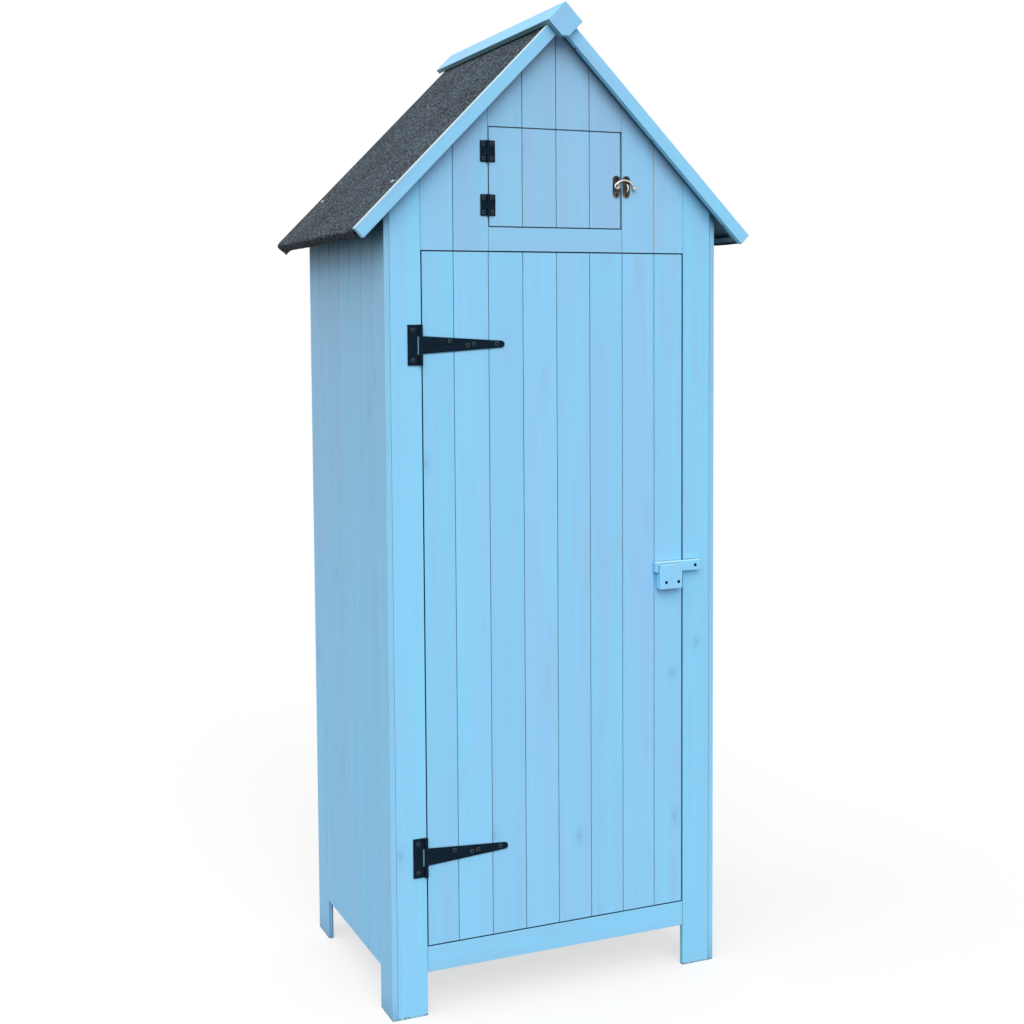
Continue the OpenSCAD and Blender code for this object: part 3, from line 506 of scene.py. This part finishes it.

# painted highlight on the latch's top faces
latchFinish = {"highlightWay": (0, 0, 1), "highlightShare": 0.8, "cast": -0.3, "tone": 1.02, "creviceShade": 0.8}
finishes = {
    "left_stile": {"cast": -0.45, "creviceShade": 0.3},
    "right_stile": {"cast": -0.45},
    "bottom_rail": {"cast": -0.2, "endWays": [(0, 0, 1)]},
    "hatch_rail": {"cast": 0.15, "fade": 0.12, "endWays": [(0, 0, -1)]},
    # bargeboards: painted highlight on their tops, painted shade on their undersides
    "left_bargeboard": {"highlightWay": upLeft, "cast": -0.1, "underWay": downLeft, "underShare": 0.4},
    "right_bargeboard": {"highlightWay": upRight, "underWay": downLeft, "underShare": 0.75},
    "left_roof_battens": {"eaveShade": 0.9},
    # the right eave's battens: a tone of 0.5 is painted shade
    "right_roof_battens": {"eaveShade": 0.7, "tone": 0.5, "cast": -0.4, "creviceShade": 0.3, "gloss": 0.1},
    # ridge boards and end plate: painted shade on their undersides
    "left_ridge_board": {"tone": 0.90, "cast": 0.1, "underWay": downLeft, "underShare": 0.92,
                         "underColour": paint["ridgeShadeColour"]},
    "right_ridge_board": {"tone": 0.95},
    "ridge_end_plate": {"cast": 0.1, "tone": 0.95, "underWay": downLeft, "underShare": 0.8,
                        "underColour": paint["ridgeShadeColour"]},
    "latch_bar": latchFinish,
    "latch_keeper": latchFinish,
    "hatch_stops": {"creviceShade": 0.4},
}
singles = {
    "up, across x": ["left_stile", "right_stile", "left_front_post", "right_front_post", "hatch_stops"],
    "along x, across z": ["bottom_rail", "hatch_rail", "door_header", "door_ledges", "hatch_ledges",
                          "back_battens", "latch_bar"],
    "along x, across y": ["floor_bearers"],
    "along y, across z": ["left_side_battens", "right_side_battens"],
    "along y, across x": ["left_ridge_board", "right_ridge_board"],
    "down the left slope": ["left_bargeboard", "left_roof_battens", "ridge_end_plate"],
    "down the right slope": ["right_bargeboard", "right_roof_battens"],
    "up, across y": ["latch_keeper"],
}
seed = 60.0
for way, members in singles.items():
    for node in members:
        seed += 1.0
        dress(node, paintedTimber("paint_" + node, way, seed, finish=finishes.get(node)))

print("stage: materials for the felt and the metal")
felt = mineralFelt("mineralFelt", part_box("left_felt")[0].y)
for node in ("left_felt", "right_felt"):
    dress(node, felt)
steel = blackSteel("blackSteel", ironLook["colour"])
# lighter steel for the painted highlight on the screw heads' rims
highlightSteel = blackSteel("highlightSteel", ironLook["paintedLight"])
for node in nodes:
    if "hinge" in node or node in ("leaf_screws", "strap_screws", "hatch_frame_screws",
                                   "latch_pivot_screw", "latch_keeper_screws"):
        dress(node, steel)

# the stud that the hook turns on, and the middle of the hook's knob
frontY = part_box("door_boards")[0].y
plateLow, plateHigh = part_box("catch_hook_plate")
hookLow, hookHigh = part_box("hook_arm")
stud = Vector(((plateLow.x + plateHigh.x) / 2, 0, hookLow.z + catchLook["studHeight"]))
knobRadius = (hookHigh.y - hookLow.y) / 2
knobHeights = [v.co.z for v in nodes["hook_arm"].data.vertices if v.co.x > hookHigh.x - 2 * knobRadius]
ball = Vector((hookHigh.x - knobRadius, (hookLow.y + hookHigh.y) / 2,
               (min(knobHeights) + max(knobHeights)) / 2))
plateMetal = antiquePlate("antiquePlate", frontY, stud)
for node in ("catch_hook_plate", "catch_staple_plate"):
    dress(node, plateMetal)
darkScrew = blackSteel("darkScrew", catchLook["screw"])
for node in ("catch_hook_screws", "catch_staple_screws"):
    dress(node, darkScrew)
dress("hook_arm", nickelWire("nickelWire", ball))

# timbers get a softened arris

arris = {"width": 0.9 * mm, "segments": 2, "angle": 40}
softened = ["left_bargeboard", "right_bargeboard", "left_ridge_board", "right_ridge_board",
            "ridge_end_plate", "bottom_rail", "hatch_rail"]
for node in softened:
    piece = nodes[node]
    weld = piece.modifiers.new("weld", "WELD")
    weld.merge_threshold = 0.005 * mm
    bevel = piece.modifiers.new("arris", "BEVEL")
    bevel.width = arris["width"]
    bevel.segments = arris["segments"]
    bevel.limit_method = "ANGLE"
    bevel.angle_limit = math.radians(arris["angle"])
    bevel.harden_normals = True

print("stage: roofing felt")
feltSheetLook = {
    "rollRadius": 6.5 * mm,   # the sheet rolls over the edge of the roof boards
    "rollProud": 3.0 * mm,    # and stands this far out of their edge
    "cornerRadius": 9 * mm,
    "backDrop": 12.5 * mm,    # height of the fold over the back edge
    "hang": 3.0 * mm,         # how far the torn edge hangs below the battens
    "tab": 6.5 * mm,          # the folded corner hangs lower
    "tabReach": (15 * mm, 32 * mm),
    "edgeWave": 1.6 * mm,
    "rollWave": 0.9 * mm,
    "tuck": 3.4 * mm,         # how far the hanging edge turns back in
    "lap": 5 * mm,            # the roll starts this far inside the edge of the roof boards
    "step": 5 * mm,
    "cornerSteps": 8,
    "thickness": 1.5 * mm,
}


def newPiece(name, builder, materials, body, replaced=(), smooth=True):
    mesh = bpy.data.meshes.new(name)
    builder.normal_update()
    builder.to_mesh(mesh)
    builder.free()
    piece = bpy.data.objects.new(name, mesh)
    bpy.context.scene.collection.objects.link(piece)
    for material in materials:
        piece.data.materials.append(material)
    for face in piece.data.polygons:
        face.use_smooth = smooth
    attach(piece, body)
    if replaced:
        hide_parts(*replaced)
    return piece


def slopePoint(side, apex, down, y, depth):  # by the way down the slope, and the depth under its top
    return Vector((side * (down - depth) / math.sqrt(2), y, apex - (down + depth) / math.sqrt(2)))


def feltSheet(name, node, barge, side, seed):
    look = feltSheetLook
    low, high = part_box(node)
    bargeLow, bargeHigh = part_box(barge)
    apex = bargeHigh.z
    eave = math.sqrt(2) * max(abs(bargeLow.x), abs(bargeHigh.x))
    top = (apex - high.z) / math.sqrt(2)               # depth of the sheet under the bargeboard's top
    drop = (apex - low.z) * math.sqrt(2) - eave - top  # height of its fold over the eave
    front, back = low.y, high.y

    # the rim runs down the back edge, round the corner and along the eave
    corner = look["cornerRadius"]
    rim = []
    count = round((eave - corner) / look["step"])
    for k in range(count):
        rim.append((top + (eave - corner - top) * k / count, back, 0.0, 1.0))
    for k in range(look["cornerSteps"] + 1):
        angle = math.radians(90 - 90 * k / look["cornerSteps"])
        rim.append((eave - corner + corner * math.cos(angle), back - corner + corner * math.sin(angle),
                    math.cos(angle), math.sin(angle)))
    count = round((back - corner - front) / look["step"])
    for k in range(1, count + 1):
        rim.append((eave, back - corner - (back - corner - front) * k / count, 1.0, 0.0))

    roll, proud = look["rollRadius"], look["rollProud"]
    builder = bmesh.new()
    rows = []
    for down, y, outDown, outY in rim:
        wave = noise.noise(Vector((down * 11, y * 11, seed)))
        ripple = noise.noise(Vector((down * 34, y * 34, seed + 5)))
        reachDown, reachY = look["tabReach"]
        cornerShare = math.exp(-((down - eave) / reachDown) ** 2 - ((y - back) / reachY) ** 2)
        length = look["backDrop"] + (drop + look["hang"] - look["backDrop"]) * outDown ** 2
        length += look["edgeWave"] * (wave + 0.5 * ripple - 0.7) * (1 - cornerShare)
        length += look["tab"] * cornerShare
        swell = look["rollWave"] * (ripple + 0.6 * wave)
        profile = [(proud - roll - look["lap"], 0.0)]
        for k in range(7):
            angle = math.radians(90 - 15 * k)
            profile.append((proud - roll + roll * math.cos(angle) + swell * math.cos(angle),
                            roll - roll * math.sin(angle)))
        for k in range(1, 7):
            share = k / 6
            tuck = (look["tuck"] + swell) * (1 - 0.5 * cornerShare)
            out = proud + swell - tuck * math.sin(share * 2.2) / math.sin(2.2) * min(1, share * 1.3)
            profile.append((out + 0.5 * mm * wave * share, roll + (length - roll) * share))
        row = []
        for out, depth in profile:
            place = slopePoint(side, apex, down + out * outDown, y + out * outY, top + depth)
            row.append(builder.verts.new(place))
        rows.append(row)
    for one, two in zip(rows, rows[1:]):
        for k in range(len(one) - 1):
            builder.faces.new((one[k], one[k + 1], two[k + 1], two[k]))
    ridge = builder.verts.new(slopePoint(side, apex, top, front, top))
    builder.faces.new([row[0] for row in rows] + [ridge])
    bmesh.ops.recalc_face_normals(builder, faces=builder.faces)
    upward = Vector((side, 0, 1))
    if max(builder.faces, key=lambda face: face.calc_area()).normal.dot(upward) < 0:
        bmesh.ops.reverse_faces(builder, faces=builder.faces)
    sheet = newPiece(name, builder, [felt], "carcass", [node])
    thick = sheet.modifiers.new("thickness", "SOLIDIFY")
    thick.thickness = look["thickness"]
    thick.offset = -1


feltSheet("leftFeltSheet", "left_felt", "left_bargeboard", -1, 3.1)
feltSheet("rightFeltSheet", "right_felt", "right_bargeboard", 1, 8.7)

print("stage: screws")
screwLook = {
    "radius": {"black_iron": 3.5 * mm, "aged_metal": 3.0 * mm},
    "height": 1.5 * mm,
    "cadHeight": 1.4 * mm,    # of the plain heads that these stand for
    "sunk": 0.3 * mm,         # how far the rim goes into the plate
    "crown": 0.72,            # share of the height that the dome takes
    "recessLength": 0.62,     # the cross recess, as shares of the head
    "recessWidth": 0.17,
    "recessDepth": 0.85 * mm,
    "paintedLightFrom": 8,          # first of the outer rings with a painted highlight
    "rings": 15,
    "spokes": 48,
}
screwNodes = {  # node: body, slot
    "strap_screws": ("main_door", "black_iron"),
    "leaf_screws": ("carcass", "black_iron"),
    "hatch_frame_screws": ("carcass", "black_iron"),
    "hatch_hinge_screws": ("hatch_door", "black_iron"),
    "latch_pivot_screw": ("carcass", "black_iron"),
    "latch_keeper_screws": ("main_door", "black_iron"),
    "catch_staple_screws": ("carcass", "aged_metal"),
    "catch_hook_screws": ("hatch_door", "aged_metal"),
}


def screwPlaces(node):  # the middle of each head's face
    points = [v.co.copy() for v in nodes[node].data.vertices]
    tip = max(p.y for p in points)
    face = min(p.y for p in points)
    groups = []
    for p in points:
        if tip - p.y > 0.2 * mm:
            continue
        for group in groups:
            if (p - group[0]).length < 4 * mm:
                group.append(p)
                break
        else:
            groups.append([p])
    middles = []
    for group in groups:
        xs, zs = [p.x for p in group], [p.z for p in group]
        middles.append(Vector(((min(xs) + max(xs)) / 2, face, (min(zs) + max(zs)) / 2)))
    return middles


def recess(x, z, radius):  # 1 in the cross, 0 outside it
    def arm(a, b):
        across = 1 - min(1, abs(a) / (radius * screwLook["recessWidth"]))
        along = 1 - min(1, abs(b) / (radius * screwLook["recessLength"]))
        return min(1, across * 2.2) * min(1, along * 4)
    return max(arm(x, z), arm(z, x))


def addScrewHead(builder, middle, radius, height):
    look = screwLook
    turn = random.uniform(0, math.pi / 2)
    base = middle.y + look["cadHeight"]  # the plate's face
    rings = []
    for i in range(look["rings"] + 1):
        reach = radius * math.sin(math.pi / 2 * i / look["rings"])
        ring = []
        for j in range(look["spokes"]):
            angle = 2 * math.pi * j / look["spokes"]
            x, z = reach * math.cos(angle), reach * math.sin(angle)
            share = reach / radius
            out = height * (1 - look["crown"] * (1 - math.sqrt(max(0.0, 1 - 0.86 * share * share))))
            own = Vector((x * math.cos(turn) - z * math.sin(turn), x * math.sin(turn) + z * math.cos(turn)))
            out -= look["recessDepth"] * recess(own.x, own.y, radius)
            if i == look["rings"]:
                out = -look["sunk"]
            ring.append(builder.verts.new((middle.x + x, base - out, middle.z + z)))
            if i == 0:
                break
        rings.append(ring)
    for j in range(look["spokes"]):
        k = (j + 1) % look["spokes"]
        builder.faces.new((rings[0][0], rings[1][j], rings[1][k]))
        for i, (one, two) in enumerate(zip(rings[1:], rings[2:])):
            made = builder.faces.new((one[j], two[j], two[k], one[k]))
            # the outer rings take the painted highlight
            made.material_index = 1 if look["paintedLightFrom"] <= i + 1 < look["rings"] - 1 else 0


screwMetals = {  # the head, and its outer rings with a painted highlight
    "black_iron": [steel, highlightSteel],
    "aged_metal": [darkScrew, darkScrew],
}
for node, (body, slotName) in screwNodes.items():
    builder = bmesh.new()
    for middle in screwPlaces(node):
        addScrewHead(builder, middle, screwLook["radius"][slotName], screwLook["height"])
    bmesh.ops.recalc_face_normals(builder, faces=builder.faces)
    if max(builder.faces, key=lambda face: face.calc_area()).normal.y > 0:
        bmesh.ops.reverse_faces(builder, faces=builder.faces)
    heads = newPiece(node + "Heads", builder, screwMetals[slotName], body, [node])

print("stage: nails")
nailLook = {
    "feltHead": 3.5 * mm,                 # radius of the clout nails' heads in the felt
    "feltWay": 423 * mm,                  # their distance from the ridge, down the slope
    "feltInset": (42 * mm, 38 * mm),      # and from the sheet's front and back edges
    "bargeHead": 1.8 * mm,
    "bargeWay": (66 * mm, 285 * mm, 498 * mm),
    "bargeInset": 2.6 * mm,               # from the bargeboard's back face
    "sides": 20,
    "crown": [(1.0, -0.2 * mm), (1.0, 0.35 * mm), (0.82, 0.7 * mm), (0.45, 0.9 * mm)],  # radius share, height
    "zinc": (0.64, 0.68, 0.70),
}


def nailHead(builder, place, outward, radius):
    turn = outward.to_track_quat("Z", "Y").to_matrix()
    sides = nailLook["sides"]
    rings = []
    for share, height in nailLook["crown"]:
        ring = []
        for j in range(sides):
            angle = 2 * math.pi * j / sides
            local = Vector((radius * share * math.cos(angle), radius * share * math.sin(angle), height))
            ring.append(builder.verts.new(place + turn @ local))
        rings.append(ring)
    for one, two in zip(rings, rings[1:]):
        for j in range(sides):
            k = (j + 1) % sides
            builder.faces.new((one[j], one[k], two[k], two[j]))
    builder.faces.new(rings[-1])


def zincHead(name):
    material, tree, shader, point = newMaterial(name)
    stain = noiseAt(tree, point, 400.0, 3.0, 0.6)
    tree.links.new(mixColour(tree, stain, [c * 0.8 for c in nailLook["zinc"]], nailLook["zinc"]),
                   shader.inputs["Base Color"])
    shader.inputs["Metallic"].default_value = 0.3
    shader.inputs["Roughness"].default_value = 0.4
    return material


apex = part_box("left_bargeboard")[1].z
zinc = zincHead("zincHead")
for side, word in ((-1, "left"), (1, "right")):
    feltLow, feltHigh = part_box(word + "_felt")
    bargeLow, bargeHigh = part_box(word + "_bargeboard")
    outward = Vector((side, 0, 1)).normalized()
    feltDepth = (apex - feltHigh.z) / math.sqrt(2)
    builder = bmesh.new()
    for y in (feltLow.y + nailLook["feltInset"][0], feltHigh.y - nailLook["feltInset"][1]):
        place = slopePoint(side, apex, nailLook["feltWay"], y, feltDepth)
        nailHead(builder, place, outward, nailLook["feltHead"])
    newPiece(word + "FeltNails", builder, [zinc], "carcass")
    under = (apex - bargeLow.z) * math.sqrt(2) - math.sqrt(2) * max(abs(bargeLow.x), abs(bargeHigh.x))
    builder = bmesh.new()
    for way in nailLook["bargeWay"]:
        place = slopePoint(side, apex, way, bargeHigh.y - nailLook["bargeInset"], under)
        nailHead(builder, place, -outward, nailLook["bargeHead"])
    newPiece(word + "BargeNails", builder, [steel], "carcass")

print("stage: latch")
latchLook = {
    "arris": 0.9 * mm,
    "hole": 3.0 * mm,        # radius of the sunk screw holes
    "holeDepth": 4.0 * mm,
    "bedPlay": 0.5 * mm,     # under the bar, in the keeper
    "lipPlay": 0.3 * mm,     # between the bar and the keeper's lip
    # bare wood inside the sunk holes, painted near black as painted shade
    "shadedBareWood": ((0.0060, 0.0066, 0.0084), (0.0160, 0.0176, 0.0224)),
}


# bare wood of the hole walls, with painted shade
def shadedBareHole(name):
    material, tree, shader, point = newMaterial(name)
    fibre = noiseAt(tree, point, 900.0, 3.0, 0.6)
    tree.links.new(mixColour(tree, fibre, *latchLook["shadedBareWood"]), shader.inputs["Base Color"])
    shader.inputs["Roughness"].default_value = 0.95
    shader.inputs["Specular IOR Level"].default_value = 0.05
    return material


holeMaterial = shadedBareHole("shadedBareHole")


def latchBlock(name, node, section, body, holes):  # a rounded block with sunk screw holes in its front
    low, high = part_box(node)
    builder = bmesh.new()
    ends = []
    for x in (low.x, high.x):
        ends.append([builder.verts.new((x, y, z)) for y, z in section])
    builder.faces.new(ends[0])
    builder.faces.new(reversed(ends[1]))
    for k in range(len(section)):
        j = (k + 1) % len(section)
        builder.faces.new((ends[0][k], ends[1][k], ends[1][j], ends[0][j]))
    bmesh.ops.recalc_face_normals(builder, faces=builder.faces)
    piece = newPiece(name, builder, [nodes[node].data.materials[0]], body, [node], smooth=False)
    bevel = piece.modifiers.new("arris", "BEVEL")
    bevel.width = latchLook["arris"]
    bevel.segments = 3

    # round bars cut the holes, and are removed again
    radius, barLength = latchLook["hole"], 40 * mm
    bars = bmesh.new()
    for middle in holes:
        spot = Matrix.Translation((middle.x, low.y + latchLook["holeDepth"] - barLength / 2, middle.z))
        bmesh.ops.create_cone(bars, cap_ends=True, segments=40, radius1=radius, radius2=radius,
                              depth=barLength, matrix=spot @ Matrix.Rotation(math.pi / 2, 4, "X"))
    cutter = bpy.data.objects.new("cutter", bpy.data.meshes.new("cutter"))
    bars.to_mesh(cutter.data)
    bars.free()
    cutter.data.materials.append(holeMaterial)
    bpy.context.scene.collection.objects.link(cutter)
    cut = piece.modifiers.new("holes", "BOOLEAN")
    cut.object = cutter
    cut.solver = "EXACT"
    cut.material_mode = "TRANSFER"
    bpy.context.view_layer.update()
    made = bpy.data.meshes.new_from_object(piece.evaluated_get(bpy.context.evaluated_depsgraph_get()))
    piece.modifiers.clear()
    piece.data = made
    bpy.data.objects.remove(cutter)


barLow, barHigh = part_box("latch_bar")
latchBlock("latchBarBlock", "latch_bar",
           [(barLow.y, barLow.z), (barLow.y, barHigh.z), (barHigh.y, barHigh.z), (barHigh.y, barLow.z)],
           "latch", screwPlaces("latch_pivot_screw"))
low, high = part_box("latch_keeper")
bed, lipBack = barLow.z - latchLook["bedPlay"], barLow.y - latchLook["lipPlay"]
latchBlock("latchKeeperBlock", "latch_keeper",
           [(low.y, low.z), (low.y, high.z), (lipBack, high.z), (lipBack, bed),
            (high.y, bed), (high.y, low.z)],
           "main_door", screwPlaces("latch_keeper_screws"))

print("stage: floor, lights and camera")
floorLook = {
    "size": 30.0,
    "drop": 0.3 * mm,  # under the feet
    "colour": (0.27, 0.27, 0.27),
    "glow": 0.66,      # only where it is seen, so that the floor reads as white
}
bpy.ops.mesh.primitive_plane_add(size=floorLook["size"], location=(0, 0, -floorLook["drop"]))
floor = bpy.context.object
floor.name = "floor"
floorMaterial = bpy.data.materials.new("paleFloor")
floorMaterial.use_nodes = True
tree = floorMaterial.node_tree
tree.nodes.clear()
matte = addNode(tree, "BsdfDiffuse", {"Color": (*floorLook["colour"], 1.0)}).outputs[0]
glow = times(tree, seenDirectly(tree), floorLook["glow"])
shine = addNode(tree, "Emission", {"Color": (1, 1, 1, 1), "Strength": glow}).outputs[0]
both = addNode(tree, "AddShader", {0: matte, 1: shine}).outputs[0]
addNode(tree, "OutputMaterial", {"Surface": both})
floor.data.materials.append(floorMaterial)

sky = {
    "zenith": (0.95, 0.98, 0.99),
    "horizon": (1.00, 0.92, 0.80),
    "zenithStrength": 0.86,
    "horizonStrength": 0.33,
}
world = bpy.data.worlds.new("sky")
bpy.context.scene.world = world
world.use_nodes = True
tree = world.node_tree
tree.nodes.clear()
direction = addNode(tree, "TexCoord").outputs["Generated"]
height = dotWith(tree, direction, (0, 0, 1))
up = remap(tree, height, 0.0, 0.9)
skyColour = mixColour(tree, up, [c * sky["horizonStrength"] for c in sky["horizon"]],
                      [c * sky["zenithStrength"] for c in sky["zenith"]])
light = addNode(tree, "Background", {"Color": skyColour, "Strength": 1.0}).outputs[0]
white = addNode(tree, "Background", {"Color": (1, 1, 1, 1), "Strength": 1.0}).outputs[0]
shown = addNode(tree, "MixShader", {0: seenDirectly(tree), 1: light, 2: white}).outputs[0]
addNode(tree, "OutputWorld", {"Surface": shown})

lamps = {  # soft suns: where each comes from, how wide it is in degrees, and its strength
    "front": {"from": (-0.25, -1.0, 0.80), "width": 50, "strength": 2.03, "colour": (1.0, 0.97, 0.95)},
    "side": {"from": (-1.0, -0.15, 1.3), "width": 50, "strength": 1.08, "colour": (1.0, 0.87, 0.82)},
}
for name, lamp in lamps.items():
    data = bpy.data.lights.new(name, "SUN")
    data.energy = lamp["strength"]
    data.angle = math.radians(lamp["width"])
    data.color = lamp["colour"]
    thing = bpy.data.objects.new(name, data)
    thing.rotation_mode = "QUATERNION"
    thing.rotation_quaternion = Vector(lamp["from"]).to_track_quat("Z", "Y")
    bpy.context.scene.collection.objects.link(thing)

cameraSet = {
    "place": (-1.1375, -2.5898, 1.2142),
    "turn": 0.3892,     # radians, towards +X from looking along +Y
    "tilt": -0.0640,
    "roll": -0.0085,
    "lens": 51.38,
    "sensor": 36,
    "shift": (0.0410, -0.0880),
}
turn, tilt, roll = cameraSet["turn"], cameraSet["tilt"], cameraSet["roll"]
ahead = Vector((math.sin(turn) * math.cos(tilt), math.cos(turn) * math.cos(tilt), math.sin(tilt)))
right = Vector((math.cos(turn), -math.sin(turn), 0))
above = right.cross(ahead)
rightRolled = right * math.cos(roll) + above * math.sin(roll)
aboveRolled = above * math.cos(roll) - right * math.sin(roll)
cameraData = bpy.data.cameras.new("camera")
cameraData.lens = cameraSet["lens"]
cameraData.sensor_width = cameraSet["sensor"]
cameraData.shift_x, cameraData.shift_y = cameraSet["shift"]
camera = bpy.data.objects.new("camera", cameraData)
turned = Matrix((rightRolled, aboveRolled, -ahead)).transposed().to_4x4()
camera.matrix_world = Matrix.Translation(cameraSet["place"]) @ turned
bpy.context.scene.collection.objects.link(camera)
bpy.context.scene.camera = camera
bpy.context.scene.view_settings.view_transform = "Standard"

print("stage: finish")
